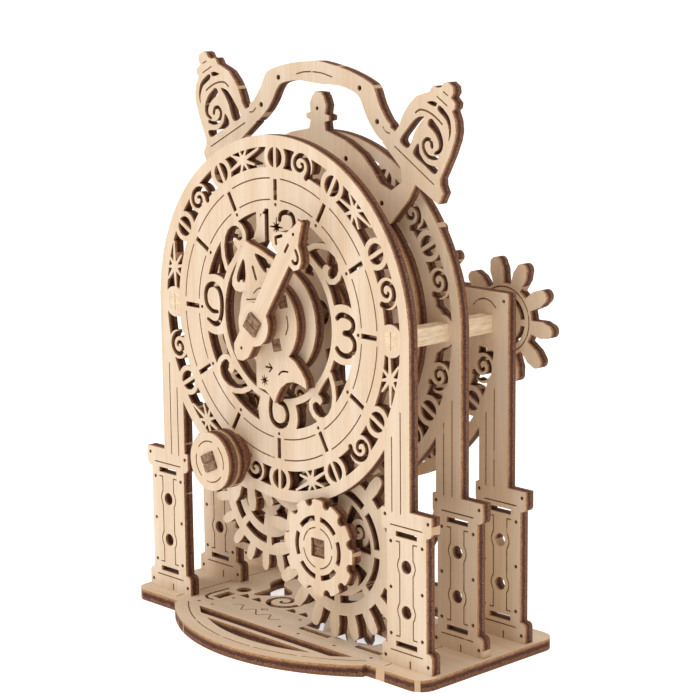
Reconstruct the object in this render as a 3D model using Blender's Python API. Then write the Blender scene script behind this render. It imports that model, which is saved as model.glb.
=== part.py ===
"""Laser-cut plywood model of a twin-bell alarm clock: plates, beams, hands and three small gear trains."""

import bpy
from math import atan2, cos, pi, radians, sin, sqrt

MM = 0.001
PLY = 3.0           # sheet thickness
GAP = 0.3           # air between neighbouring sheets
TOP = 3.0           # height of the base board's upper face

# Front faces of the sheets, from front to back.
Y_KNOB = -9.9
Y_MINUTE = -8.2
Y_REAR_KNOB = -6.6
Y_HOUR = -3.3
Y_FRONT = 0.0
Y_WHEEL = 3.3
Y_SECOND = 6.6
Y_YOKE = 14.8
Y_MIDDLE = 18.1
Y_BACK = 34.0
Y_REAR = 40.6

# Dial and plate outline.
DIAL = (0.0, TOP + 81.75)
ARCH_R = 47.2
LEG_IN = 38.6
PILLAR_X = 46.0
CAP_HALF = 8.6
BODY_HALF = 6.8
BAND = (39.2, 44.1)
BEAM_X = 41.0
BEAM = 4.4

# Arbors: square bars turning in round holes.
ARBOR = 4.6
BORE = 3.7
LOWER = (17.7, TOP + 25.8)
KNOB = (-16.2, TOP + 43.6)
IDLER = (-12.0, TOP + 33.0)
REAR = (BEAM_X, DIAL[1])

MINUTE_ANGLE = -33.0
HOUR_ANGLE = 22.3


def clear_scene():
    for obj in list(bpy.data.objects):
        bpy.data.objects.remove(obj, do_unlink=True)


def new_collection():
    group = bpy.data.collections.new("alarm_clock_puzzle")
    bpy.context.scene.collection.children.link(group)
    return group


def plywood(name, colour, roughness):
    """A plain shader for one kind of wood."""
    material = bpy.data.materials.new(name)
    material.use_nodes = True
    shader = material.node_tree.nodes["Principled BSDF"]
    shader.inputs["Base Color"].default_value = (*colour, 1.0)
    shader.inputs["Roughness"].default_value = roughness
    return material


def arc(centre, radius, start, stop, steps):
    """Points along a circle, angles in degrees, both ends included."""
    points = []
    for k in range(steps + 1):
        a = radians(start + (stop - start) * k / steps)
        points.append((centre[0] + radius * cos(a), centre[1] + radius * sin(a)))
    return points


def ring(centre, radius, steps):
    return arc(centre, radius, 0.0, 360.0 * (steps - 1) / steps, steps - 1)


def box(centre, half_w, half_h):
    x, z = centre
    return [(x - half_w, z - half_h), (x + half_w, z - half_h), (x + half_w, z + half_h), (x - half_w, z + half_h)]


def turned(points, centre, degrees):
    """Local points (0, 0 = centre) turned and moved to the centre."""
    c, s = cos(radians(degrees)), sin(radians(degrees))
    return [(centre[0] + c * u - s * v, centre[1] + s * u + c * v) for u, v in points]


def sector(centre, inner, outer, start, stop, steps):
    return arc(centre, inner, start, stop, steps) + arc(centre, outer, stop, start, steps)


def sheet(name, group, material, pivot, loops, front, thick=PLY):
    """One flat cut piece standing upright: loops of (x, z), first the outline, then the holes."""
    curve = bpy.data.curves.new(name, "CURVE")
    curve.dimensions = "2D"
    curve.fill_mode = "BOTH"
    curve.extrude = 0.5 * thick * MM
    for loop in loops:
        spline = curve.splines.new("POLY")
        spline.points.add(len(loop) - 1)
        for point, (x, z) in zip(spline.points, loop):
            point.co = ((x - pivot[0]) * MM, (z - pivot[1]) * MM, 0.0, 1.0)
        spline.use_cyclic_u = True
    obj = bpy.data.objects.new(name, curve)
    obj.rotation_euler = (pi / 2, 0.0, 0.0)
    obj.location = (pivot[0] * MM, (front + 0.5 * thick) * MM, pivot[1] * MM)
    obj.data.materials.append(material)
    group.objects.link(obj)
    return obj


def bar(name, group, material, centre, side, front, back, degrees=0.0):
    """A square bar along Y."""
    half = 0.5 * side
    outline = turned(box((0.0, 0.0), half, half), centre, degrees)
    return sheet(name, group, material, centre, [outline], front, back - front)


def pillar_side(x_centre, way):
    """One side of a pillar from its foot up to the cap's top; way is +1 for the right-hand side."""
    steps = [(CAP_HALF, 0.3), (CAP_HALF, 4.2), (CAP_HALF - 1.3, 5.4), (BODY_HALF, 5.4), (BODY_HALF, 34.6),
             (CAP_HALF - 1.3, 34.6), (CAP_HALF, 35.8), (CAP_HALF, 40.0)]
    return [(x_centre + way * half, TOP + z) for half, z in steps]


def tenon(x_centre):
    """The tongue below a pillar, from its right side to its left side."""
    return [(x_centre + 4.0, TOP + 0.3), (x_centre + 4.0, 0.3), (x_centre - 4.0, 0.3), (x_centre - 4.0, TOP + 0.3)]


def feet_and_legs(top_run):
    """The outline shared by the three upright plates; top_run goes from the right leg's outer edge to the left."""
    right = list(reversed(tenon(PILLAR_X))) + pillar_side(PILLAR_X, 1)
    left = [(-x, z) for x, z in reversed(right)]
    drop = sqrt(ARCH_R ** 2 - LEG_IN ** 2)
    turn = 180.0 + atan2(drop, LEG_IN) * 180.0 / pi
    under = arc(DIAL, ARCH_R, turn, 540.0 - turn, 22)
    inner_left = [(-x, z) for x, z in pillar_side(PILLAR_X, -1)]
    inner_right = list(reversed(pillar_side(PILLAR_X, -1)))
    leg_left = [(-LEG_IN, TOP + 40.0)]
    leg_right = [(LEG_IN, TOP + 40.0)]
    return right + top_run + left + inner_left + leg_left + under + leg_right + inner_right


def pillar_holes():
    holes = []
    for x in (-PILLAR_X, PILLAR_X):
        holes.append(box((x, TOP + 33.6), 3.7, 0.65))
        holes.append(box((x, TOP + 5.9), 3.7, 0.65))
        holes.append(ring((x, TOP + 26.0), 1.7, 8))
        holes.append(ring((x, TOP + 14.4), 1.7, 8))
    return holes


def eye(angle):
    """A round window split by a radial bar, in the ring's fretwork."""
    middle = 0.5 * (BAND[0] + BAND[1])
    centre = (DIAL[0] + middle * cos(radians(angle)), DIAL[1] + middle * sin(radians(angle)))
    right = [(0.55 + 1.85 * cos(radians(a)), 2.4 * sin(radians(a))) for a in (-90, -45, 0, 45, 90)]
    left = [(-u, v) for u, v in reversed(right)]
    return [turned(half, centre, angle - 90.0) for half in (right, left)]


def fret_ring(first, last):
    """Fretwork windows of the ring between two angles."""
    holes = []
    for k in range(12):
        angle = 30.0 * k
        if first <= angle <= last and k not in (0, 6):
            holes += eye(angle)
        middle = angle + 15.0
        if not first <= middle <= last:
            continue
        holes.append(ring((DIAL[0] + 41.6 * cos(radians(middle)), DIAL[1] + 41.6 * sin(radians(middle))), 1.9, 7))
        for side in (-6.2, 6.2):
            holes.append(sector(DIAL, BAND[0] + 0.2, BAND[1] - 0.3, middle + side - 1.7, middle + side + 1.7, 1))
    for x in (-BEAM_X, BEAM_X):
        holes.append(box((x, DIAL[1]), 0.5 * BEAM + 0.25, 0.5 * BEAM + 0.25))
    return holes


def clear_of(loops, centre, reach):
    """Leaves out the windows whose middle is nearer than reach to a bore."""
    kept = []
    for loop in loops:
        x = sum(p[0] for p in loop) / len(loop) - centre[0]
        z = sum(p[1] for p in loop) / len(loop) - centre[1]
        if sqrt(x * x + z * z) > reach:
            kept.append(loop)
    return kept


def front_plate(group, material):
    top = arc(DIAL, ARCH_R, 0.0, 180.0, 40)
    leg = [(ARCH_R, TOP + 40.0)]
    outline = feet_and_legs(leg + top + [(-ARCH_R, TOP + 40.0)])
    holes = pillar_holes() + clear_of(fret_ring(0.0, 360.0), KNOB, 7.5)
    holes += [ring(DIAL, 19.4, 32), ring(KNOB, BORE, 12)]
    for start, stop in ((20, 40), (50, 64), (116, 130), (140, 160), (200, 220), (230, 250), (290, 310), (320, 340)):
        holes.append(sector(DIAL, 21.2, 28.0, start, stop, 3))
    for k in range(12):
        holes.append(turned(box((33.5, 0.0), 2.7, 0.65), DIAL, 30.0 * k))
    sheet("front_plate", group, material, DIAL, [outline] + holes, Y_FRONT)


def brace_points(way):
    """Lower edge of the middle plate's brace, from the centre out to one pillar."""
    return [(way * x, TOP + z) for x, z in ((6.0, 22.5), (12.0, 17.2), (18.0, 16.4), (24.0, 17.0), (31.0, 12.6), (39.2, 10.5))]


def middle_plate(group, material):
    top = arc(DIAL, ARCH_R, 0.0, 180.0, 36)
    outline = feet_and_legs([(ARCH_R, TOP + 40.0)] + top + [(-ARCH_R, TOP + 40.0)])
    rise = sqrt(ARCH_R ** 2 - 31.0 ** 2)
    upper = [(39.2, TOP + 16.0), (33.0, TOP + 19.0), (28.0, TOP + 25.0), (31.0, DIAL[1] - rise)]
    lower = brace_points(1)
    right_leg = outline.index((LEG_IN, TOP + 40.0))
    left_leg = outline.index((-LEG_IN, TOP + 40.0))
    under = outline[left_leg + 1:right_leg]
    kept = [p for p in under if abs(p[0]) > 31.5]
    left_under = [p for p in kept if p[0] < 0]
    right_under = [p for p in kept if p[0] > 0]
    # The brace splits the opening: two side openings stay windows, the middle one is open to the board.
    pillar_in = PILLAR_X - BODY_HALF
    side_right = [(pillar_in, TOP + 16.0), (pillar_in, TOP + 34.6), (PILLAR_X - CAP_HALF + 1.3, TOP + 34.6),
                  (PILLAR_X - CAP_HALF, TOP + 35.8), (PILLAR_X - CAP_HALF, TOP + 40.0), (LEG_IN, TOP + 40.0)]
    window = side_right + list(reversed(right_under)) + list(reversed(upper[1:]))
    foot = [(PILLAR_X - CAP_HALF, TOP + 0.3), (PILLAR_X - CAP_HALF, TOP + 4.2), (PILLAR_X - CAP_HALF + 1.3, TOP + 5.4),
            (pillar_in, TOP + 5.4), (pillar_in, TOP + 10.5)]
    run = [(-x, z) for x, z in foot] + [(-x, z) for x, z in reversed(lower[:-1])] + lower[:-1] + list(reversed(foot))
    outer = outline[:outline.index((-(PILLAR_X - CAP_HALF), TOP + 0.3))]
    holes = pillar_holes() + fret_ring(0.0, 360.0)
    holes.append(window)
    holes.append([(-x, z) for x, z in window])
    for start in (0.0, 90.0, 180.0, 270.0):
        holes.append(sector(DIAL, 9.0, 35.8, start + 10.0, start + 80.0, 7))
    for centre in (DIAL, LOWER, IDLER):
        holes.append(ring(centre, BORE, 12))
    sheet("middle_plate", group, material, DIAL, [outer + run] + holes, Y_MIDDLE)


def back_plate(group, material):
    shoulder = TOP + 90.0
    half = sqrt(32.0 ** 2 - (shoulder - DIAL[1]) ** 2)
    turn = atan2(shoulder - DIAL[1], half) * 180.0 / pi
    top = [(48.4, TOP + 40.0), (48.4, shoulder)] + arc(DIAL, 32.0, turn, 180.0 - turn, 18)
    outline = feet_and_legs(top + [(-48.4, shoulder), (-48.4, TOP + 40.0)])
    holes = pillar_holes() + fret_ring(188.0, 352.0) + [ring(DIAL, BORE, 12)]
    for start in (12.0, 102.0, 192.0, 282.0):
        holes.append(sector(DIAL, 9.0, 27.0, start, start + 66.0, 6))
    sheet("back_plate", group, material, DIAL, [outline] + holes, Y_BACK)


def bell_point(u, v):
    """A point of the right-hand bell: u along its foot, v up its axis."""
    return turned([(u, v)], (34.8, TOP + 124.2), -30.0)[0]


def leaning(points):
    """The yoke hangs 2.5 degrees out of true, turned clockwise about a point in its saddle."""
    return turned([(x, z - TOP - 130.0) for x, z in points], (0.0, TOP + 130.0), -2.5)


def mirrored(points):
    """The left half of a symmetrical run, in reverse, without points on the centre line."""
    return [(-x, z) for x, z in reversed(points) if x > 1e-4]


def yoke_plate(group, material):
    """Handle, both bells, their arms and the hammer's saddle, all cut as one sheet."""
    handle = [(0.0, 146.4), (6.0, 145.9), (12.5, 144.5), (18.0, 142.6), (20.6, 141.0), (22.4, 137.0), (25.0, 133.2)]
    bell = [(-8.4, 1.7), (-7.8, 4.0), (-9.0, 7.5), (-9.0, 11.0), (-8.0, 14.5), (-5.6, 18.2), (-4.0, 19.6), (-4.0, 21.0),
            (-2.3, 21.4), (-2.6, 23.6), (-1.4, 25.4), (1.4, 25.4), (2.6, 23.6), (2.3, 21.4), (4.0, 21.0), (4.0, 19.6),
            (5.6, 18.2), (8.0, 14.5), (9.0, 11.0), (9.0, 7.5), (7.8, 4.0), (8.4, 1.7), (11.6, 1.4), (11.6, -4.0), (3.2, -4.0)]
    upper = [(x, TOP + z) for x, z in handle] + [bell_point(u, v) for u, v in bell]
    limb = arc(DIAL, 36.0, 44.0, -90.0, 20)
    inner = [(0.0, 141.4), (8.0, 140.9), (14.0, 139.4), (16.0, 137.6), (17.6, 134.4), (20.0, 131.0)]
    notch = [(30.3, 118.2), (26.6, 115.8), (22.6, 117.2), (19.4, 120.9), (15.8, 124.2), (10.0, 127.2), (3.0, 129.2),
             (2.6, 131.4), (4.6, 131.8), (4.6, 133.0), (2.8, 133.4), (3.3, 135.6), (2.3, 138.0), (0.0, 138.9)]
    gap = [(x, TOP + z) for x, z in inner] + [bell_point(-11.7, -2.2), bell_point(-3.6, -4.0)]
    gap += [(x, TOP + z) for x, z in notch]
    outline = leaning(upper) + limb + mirrored(limb) + leaning(mirrored(upper))
    hole = leaning(gap + mirrored(gap))
    holes = [hole, ring(DIAL, BORE, 12)]
    for start in (-78.0, 102.0):
        holes.append(sector(DIAL, 9.5, 27.5, start, start + 156.0, 12))
    for way in (1, -1):
        for window in (((-5.0, 3.0), (-1.0, 3.0), (-1.0, 9.0), (-5.6, 9.0)), ((1.0, 3.0), (5.0, 3.0), (5.6, 9.0), (1.0, 9.0)),
                       ((-4.6, 11.0), (4.6, 11.0), (3.4, 14.0), (-3.4, 14.0))):
            points = [bell_point(u, v) for u, v in window]
            holes.append(leaning([(way * x, z) for x, z in points]))
    sheet("yoke_plate", group, material, DIAL, [outline] + holes, Y_YOKE)


def base_board(group, material):
    """The floor board, lying flat, with a bowed apron, slots for the tenons and two crescents."""
    bow = arc((0.0, 35.6), 55.6, 270.0 - 43.1, 270.0 + 43.1, 26)
    right = [(52.5, -5.0), (55.0, -4.0), (56.0, -1.5), (56.0, 39.5), (54.3, 43.4), (50.5, 45.0)]
    outline = bow + right + [(-x, y) for x, y in reversed(right)]
    loops = [outline]
    for y in (Y_FRONT, Y_MIDDLE, Y_BACK):
        for x in (-PILLAR_X, PILLAR_X):
            loops.append(box((x, y + 0.5 * PLY), 4.3, 0.5 * PLY + 0.25))
    loops.append([(-24.5, -7.0), (24.5, -7.0), (29.5, -3.4), (-29.5, -3.4)])
    loops.append(arc((0.0, 35.6), 49.0, 270.0 - 24.0, 270.0 + 24.0, 10))
    loops.append([(-26.0, 13.0), (-18.5, 15.5), (-20.5, 20.0), (-26.0, 23.5)])
    loops.append([(3.0, 5.5), (10.0, 5.5), (7.0, 11.0), (2.0, 15.0), (-2.0, 16.5)])
    loops.append([(16.0, 5.5), (21.0, 5.0), (12.0, 14.5), (8.5, 14.0)])
    loops.append([(24.0, 5.5), (30.0, 8.5), (27.5, 13.0), (20.0, 18.5), (13.0, 19.0)])
    for way in (1, -1):
        loops.append([(way * x, y) for x, y in ((8.0, 40.0), (33.0, 40.0), (26.0, 26.5), (12.0, 27.5))])
    curve = bpy.data.curves.new("base_board", "CURVE")
    curve.dimensions = "2D"
    curve.fill_mode = "BOTH"
    curve.extrude = 0.5 * PLY * MM
    for loop in loops:
        spline = curve.splines.new("POLY")
        spline.points.add(len(loop) - 1)
        for point, (x, y) in zip(spline.points, loop):
            point.co = (x * MM, y * MM, 0.0, 1.0)
        spline.use_cyclic_u = True
    obj = bpy.data.objects.new("base_board", curve)
    obj.location = (0.0, 0.0, 0.5 * PLY * MM)
    obj.data.materials.append(material)
    group.objects.link(obj)


def toothed(teeth, profile, centre, first):
    """A wheel's outline: profile lists (half width, radius) up one flank of a tooth."""
    points = []
    for k in range(teeth):
        angle = first + 360.0 * k / teeth - 90.0
        right = [(half, radius) for half, radius in profile]
        left = [(-half, radius) for half, radius in reversed(profile)]
        points += turned(right + left, centre, angle)
    return points


def arc_slots(centre, inner, outer, count, first, open_part):
    """Evenly spaced curved slots in a wheel."""
    pitch = 360.0 / count
    return [sector(centre, inner, outer, first + pitch * k, first + pitch * (k + open_part), 3) for k in range(count)]


def square_hole(centre, degrees=0.0):
    return turned(box((0.0, 0.0), 2.6, 2.6), centre, degrees)


def facing(wheel, pinion):
    """Angle in degrees from one arbor to the other."""
    return atan2(pinion[1] - wheel[1], pinion[0] - wheel[0]) * 180.0 / pi


def lower_train(group, light, dark):
    """Knob, its twelve-tooth wheel, the twenty-tooth wheel below the dial, and the idle wheel behind."""
    mesh = facing(LOWER, KNOB)
    first_big = mesh + 9.0 - 2.0
    first_small = mesh + 180.0 + 2.0 * 20.0 / 12.0
    big = toothed(20, [(1.2, 18.9), (1.65, 22.0), (1.5, 24.3), (0.6, 25.4)], LOWER, first_big)
    small = toothed(12, [(1.3, 9.6), (1.75, 12.6), (1.5, 14.8), (0.6, 15.7)], KNOB, first_small)
    sheet("wheel_20", group, light, LOWER,
          [big, square_hole(LOWER)] + arc_slots(LOWER, 13.6, 15.8, 8, 4.0, 0.82), Y_WHEEL)
    sheet("knob_wheel_12", group, light, KNOB, [small, square_hole(KNOB, 25.0)], Y_WHEEL)
    crown = toothed(12, [(1.9, 10.0), (1.75, 11.4), (1.2, 12.5)], LOWER, 90.0)
    sheet("front_gear_12", group, light, LOWER,
          [crown, square_hole(LOWER)] + arc_slots(LOWER, 7.0, 8.5, 6, 8.0, 0.8), Y_HOUR)
    mesh = facing(LOWER, IDLER)
    pinion = toothed(10, [(1.1, 6.9), (1.35, 9.2), (1.2, 11.0), (0.5, 11.7)], LOWER, mesh)
    idle = toothed(20, [(1.1, 16.9), (1.4, 19.2), (1.2, 21.2), (0.5, 21.9)], IDLER, mesh + 180.0 + 9.0)
    sheet("pinion_10", group, light, LOWER, [pinion, square_hole(LOWER)], Y_SECOND)
    sheet("idle_wheel_20", group, light, IDLER,
          [idle, square_hole(IDLER)] + arc_slots(IDLER, 12.0, 14.4, 8, 4.0, 0.82), Y_SECOND)
    bar("lower_arbor", group, dark, LOWER, ARBOR, Y_HOUR + 0.8, 22.6)
    bar("idle_arbor", group, dark, IDLER, ARBOR, Y_SECOND - 0.2, 22.6)


def knob_parts(group, light, dark):
    for name, front, radius in (("knob_front", Y_KNOB, 7.8), ("knob_rear", Y_REAR_KNOB, 7.8), ("knob_washer", Y_HOUR, 5.2)):
        sheet(name, group, light, KNOB, [ring(KNOB, radius, 28), square_hole(KNOB, 25.0)], front)
    bar("knob_arbor", group, dark, KNOB, ARBOR, Y_KNOB - 0.6, Y_WHEEL + PLY, 25.0)


def hands(group, light, dark):
    minute = [(-3.0, -10.5), (3.0, -10.5), (2.6, -7.2), (4.2, -4.0), (5.8, 0.0), (4.4, 3.8), (2.5, 5.6), (2.5, 19.5),
              (4.0, 19.4), (5.2, 21.0), (4.8, 23.4), (3.2, 26.0), (2.6, 30.0), (0.6, 33.3), (-0.6, 33.3), (-2.6, 30.0),
              (-3.2, 26.0), (-4.8, 23.4), (-5.2, 21.0), (-4.0, 19.4), (-2.5, 19.5), (-2.5, 5.6), (-4.4, 3.8), (-5.8, 0.0),
              (-4.2, -4.0), (-2.6, -7.2)]
    cut = [(-0.5, 21.0), (0.5, 21.0), (0.5, 25.0), (-0.5, 25.0)]
    sheet("minute_hand", group, light, DIAL,
          [turned(minute, DIAL, MINUTE_ANGLE), square_hole(DIAL, MINUTE_ANGLE), turned(cut, DIAL, MINUTE_ANGLE)], Y_MINUTE)
    spade = [(8.9, 11.0), (9.4, 12.6), (8.6, 14.2), (6.6, 16.0), (4.2, 18.3), (1.5, 20.3)]
    spade = spade + [(0.0, 21.8)] + [(-u, v) for u, v in reversed(spade)]
    lean = 90.0 + HOUR_ANGLE
    rim = arc(DIAL, 11.0, -40.0, lean - 26.0, 12) + turned(spade, DIAL, HOUR_ANGLE) + arc(DIAL, 9.8, lean + 28.0, 222.0, 8)
    leaf = [(2.7, 15.0), (3.8, 12.4), (6.5, 12.4), (7.1, 13.0), (6.5, 14.4), (4.6, 16.2), (2.4, 17.5)]
    leaves = [turned(p, DIAL, HOUR_ANGLE) for p in (leaf, [(-u, v) for u, v in reversed(leaf)])]
    foot = [(-6.0, 73.0), (-4.6, 72.2), (-4.6, 64.2), (-1.5, 64.0), (0.4, 63.0), (2.1, 61.0), (3.1, 63.2), (4.6, 65.4), (6.8, 67.0),
            (9.3, 67.6), (11.8, 67.3), (14.3, 66.4), (12.4, 70.6), (9.9, 73.1)]
    pegs = ((3.3, TOP + 76.2), (5.9, TOP + 87.6))
    slots = [turned(box((0.0, 0.0), 1.8, 1.8), peg, 15.0) for peg in pegs]
    sheet("hour_hand", group, light, DIAL,
          [rim + [(x, TOP + z) for x, z in foot], ring(DIAL, BORE, 12)] + leaves + slots, Y_HOUR)
    sheet("moon_backing", group, light, DIAL, [ring(DIAL, 14.4, 36), ring(DIAL, BORE, 12)] + slots, Y_FRONT)
    for side, peg in zip(("lower", "upper"), pegs):
        bar("moon_peg_" + side, group, dark, peg, 3.1, Y_HOUR - 0.1, Y_FRONT + PLY, 15.0)


def dial_train(group, light, dark):
    """The minute arbor with its nineteen-tooth wheel behind the back plate, and the ten-tooth rear wheel."""
    bar("minute_arbor", group, dark, DIAL, ARBOR, Y_MINUTE - 0.8, Y_REAR + PLY + 0.8, MINUTE_ANGLE)
    first_rear = 174.0
    first_wheel = (180.0 - first_rear) * 10.0 / 19.0 + 180.0 / 19.0
    rear = toothed(10, [(1.5, 8.9), (2.15, 12.6), (1.9, 14.9), (0.8, 16.0)], REAR, first_rear)
    wheel = toothed(19, [(1.5, 21.9), (1.95, 25.0), (1.6, 27.4), (0.7, 28.6)], DIAL, first_wheel)
    sheet("rear_wheel_10", group, light, REAR,
          [rear, ring(REAR, 3.6, 16)] + arc_slots(REAR, 5.6, 7.2, 5, 6.0, 0.8), Y_REAR)
    sheet("minute_wheel_19", group, light, DIAL,
          [wheel, square_hole(DIAL, MINUTE_ANGLE)] + arc_slots(DIAL, 14.0, 17.6, 6, 4.0, 0.84), Y_REAR)


def beams(group, material):
    """Square cross-beams at nine and three o'clock; the right one carries the rear wheel on its end."""
    bar("beam_left", group, material, (-BEAM_X, DIAL[1]), BEAM, Y_FRONT, Y_BACK + PLY + 0.3)
    bar("beam_right", group, material, (BEAM_X, DIAL[1]), BEAM, Y_FRONT, Y_REAR + PLY + 0.8)


def build():
    clear_scene()
    group = new_collection()
    birch = plywood("birch_plywood", (0.76, 0.64, 0.48), 0.62)
    burnt = plywood("cut_edge_plywood", (0.36, 0.22, 0.13), 0.7)
    base_board(group, birch)
    front_plate(group, birch)
    middle_plate(group, birch)
    back_plate(group, birch)
    yoke_plate(group, birch)
    beams(group, birch)
    lower_train(group, birch, burnt)
    knob_parts(group, birch, burnt)
    hands(group, birch, burnt)
    dial_train(group, birch, burnt)


build()
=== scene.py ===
from math import atan2, cos, degrees, hypot, pi, radians, sin

import bmesh
import bpy
import numpy as np
from mathutils import Matrix, Vector
from mathutils.geometry import delaunay_2d_cdt


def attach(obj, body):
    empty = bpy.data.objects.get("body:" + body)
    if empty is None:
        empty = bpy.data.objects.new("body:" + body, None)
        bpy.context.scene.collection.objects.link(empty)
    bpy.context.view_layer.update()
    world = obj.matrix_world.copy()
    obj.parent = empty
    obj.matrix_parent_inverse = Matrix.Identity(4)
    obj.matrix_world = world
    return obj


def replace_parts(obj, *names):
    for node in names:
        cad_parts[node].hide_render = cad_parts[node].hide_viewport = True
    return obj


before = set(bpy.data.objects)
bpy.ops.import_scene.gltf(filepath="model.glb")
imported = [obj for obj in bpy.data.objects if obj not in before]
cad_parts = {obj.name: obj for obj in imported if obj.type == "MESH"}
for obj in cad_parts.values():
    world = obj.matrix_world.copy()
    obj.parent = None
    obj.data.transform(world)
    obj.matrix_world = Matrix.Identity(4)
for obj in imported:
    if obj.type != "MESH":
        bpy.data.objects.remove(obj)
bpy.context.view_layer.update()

scene = bpy.context.scene

# ---------------------------------------------------------------- table, light and camera
# A pale table top that runs up into a white wall, lit as for a shop's catalogue: one broad lamp high
# on the left, a weak one on the right and a white room. The camera stands to the front right, a
# little above the clock, with a long lens.
table_width, table_depth, cove_radius = 6.0, 3.0, 1.2
sweep = np.linspace(0.0, 0.5 * pi, 25)
run_y = np.concatenate([[-4.0], table_depth + cove_radius * np.sin(sweep), [table_depth + cove_radius]])
run_z = np.concatenate([[0.0], cove_radius * (1.0 - np.cos(sweep)), [5.0]])
across = np.array([-table_width, table_width])
cove = np.stack(np.broadcast_arrays(across[None, :], run_y[:, None], run_z[:, None]), -1).reshape(-1, 3)
row = 2 * np.arange(len(run_y) - 1)
table_mesh = bpy.data.meshes.new("table_top")
table_mesh.from_pydata(cove.tolist(), [], np.stack([row, row + 1, row + 3, row + 2], 1).tolist())
table_mesh.shade_smooth()
table_top = bpy.data.objects.new("table_top", table_mesh)
scene.collection.objects.link(table_top)
table_paint = bpy.data.materials.new("table_paint")
table_paint.use_nodes = True
paint = table_paint.node_tree.nodes["Principled BSDF"]
for socket, value in (("Base Color", (0.9, 0.9, 0.9, 1.0)), ("Roughness", 0.75), ("Emission Color",
        (1.0, 1.0, 1.0, 1.0)), ("Emission Strength", 0.6)):
    paint.inputs[socket].default_value = value
table_mesh.materials.append(table_paint)

room = bpy.data.worlds.new("white_room")
room.use_nodes = True
room.node_tree.nodes["Background"].inputs["Color"].default_value = (1.0, 0.95, 0.89, 1.0)
room.node_tree.nodes["Background"].inputs["Strength"].default_value = 0.40
scene.world = room
scene.view_settings.view_transform = "Standard"


def soft_lamp(name, place, target, size, power, colour):
    """A square lamp facing the target."""
    lamp = bpy.data.lights.new(name, "AREA")
    lamp.shape, lamp.size, lamp.energy, lamp.color = "SQUARE", size, power, colour
    stand = bpy.data.objects.new(name, lamp)
    stand.location = place
    stand.rotation_euler = (Vector(target) - Vector(place)).to_track_quat("-Z", "Y").to_euler()
    scene.collection.objects.link(stand)


soft_lamp("key_lamp", (-0.35, -0.75, 0.75), (0.0, 0.0, 0.07), 0.55, 4.6, (1.0, 0.985, 0.965))
soft_lamp("top_lamp", (0.25, -0.1, 1.1), (0.0, 0.0, 0.05), 0.6, 3.2, (1.0, 0.96, 0.92))

eye_point = Vector((0.4092, -0.3652, 0.1854))
azimuth, elevation, roll = radians(46.32), radians(11.20), radians(-0.56)
forward = Vector((-sin(azimuth) * cos(elevation), cos(azimuth) * cos(elevation), -sin(elevation)))
level = Vector((cos(azimuth), sin(azimuth), 0.0))
upward = level.cross(forward)
side = level * cos(roll) + upward * sin(roll)
crown = upward * cos(roll) - level * sin(roll)
lens = bpy.data.cameras.new("catalogue_camera")
lens.sensor_width, lens.lens, lens.clip_start = 36.0, 112.43, 0.01
camera = bpy.data.objects.new("catalogue_camera", lens)
turn = Matrix((side, crown, -forward)).transposed().to_4x4()
camera.matrix_world = Matrix.Translation(eye_point) @ turn
scene.collection.objects.link(camera)
scene.camera = camera

# It has slots for the tongues of six pillars, fret openings and a scored flourish in place of a name.
PLY = 3.0                 # sheet thickness, mm
PITCH = 0.17     # spacing of the points that a cut is worked out on, mm
GROOVE = 0.22             # depth of a scored line
LINE = 0.36               # its width
FACE_LIGHT, FACE_DARK = (0.81, 0.665, 0.515), (0.71, 0.525, 0.35)


class Sheet:
    """A flat piece on the laser bed. Over a grid of points it keeps how far each point lies inside the
    wood (wood) and inside a scored line (score), both in mm and negative outside."""

    def __init__(self, low, high, pitch=None):
        pitch = pitch or PITCH
        self.low, self.pitch = (low[0] - 3 * pitch, low[1] - 3 * pitch), pitch
        self.u = self.low[0] + pitch * np.arange(int((high[0] - low[0]) / pitch) + 8)
        self.v = self.low[1] + pitch * np.arange(int((high[1] - low[1]) / pitch) + 8)
        self.wood = np.full((len(self.v), len(self.u)), -9.0)
        self.score_field = np.full(self.wood.shape, -9.0)

    def lay(self, shape, at, angle, flip):
        """The part of the grid near the shape, and the shape's inside distance there, with the shape
        flipped left to right, turned by angle degrees and moved to at."""
        (cu, cv), reach, inside = shape
        c, s = cos(radians(angle)), sin(radians(angle))
        way = -1.0 if flip else 1.0
        mid = (at[0] + c * way * cu - s * cv, at[1] + s * way * cu + c * cv)
        reach += 3.0 * self.pitch
        i = np.searchsorted(self.u, (mid[0] - reach, mid[0] + reach))
        j = np.searchsorted(self.v, (mid[1] - reach, mid[1] + reach))
        du = self.u[None, i[0]:i[1]] - at[0]
        dv = self.v[j[0]:j[1], None] - at[1]
        window = (slice(*j), slice(*i))
        return window, inside(way * (c * du + s * dv), c * dv - s * du)

    def add(self, shape, at=(0.0, 0.0), angle=0.0, flip=False):
        """Joins the shape on: the larger of the two inside distances."""
        window, inside = self.lay(shape, at, angle, flip)
        self.wood[window] = np.maximum(self.wood[window], inside)

    def cut(self, shape, at=(0.0, 0.0), angle=0.0, flip=False):
        """Takes the shape away: the smaller of the wood's distance and the shape's with its sign turned."""
        window, inside = self.lay(shape, at, angle, flip)
        self.wood[window] = np.minimum(self.wood[window], -inside)

    def score(self, shape, at=(0.0, 0.0), angle=0.0, flip=False):
        """Draws the shape on the face, for the laser to scorch and not cut."""
        window, inside = self.lay(shape, at, angle, flip)
        self.score_field[window] = np.maximum(self.score_field[window], inside)


def disc(radius, u=0.0, v=0.0):
    """Inside distance: radius less the distance to the centre."""
    return (u, v), radius, lambda x, y: radius - np.hypot(x - u, y - v)


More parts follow.
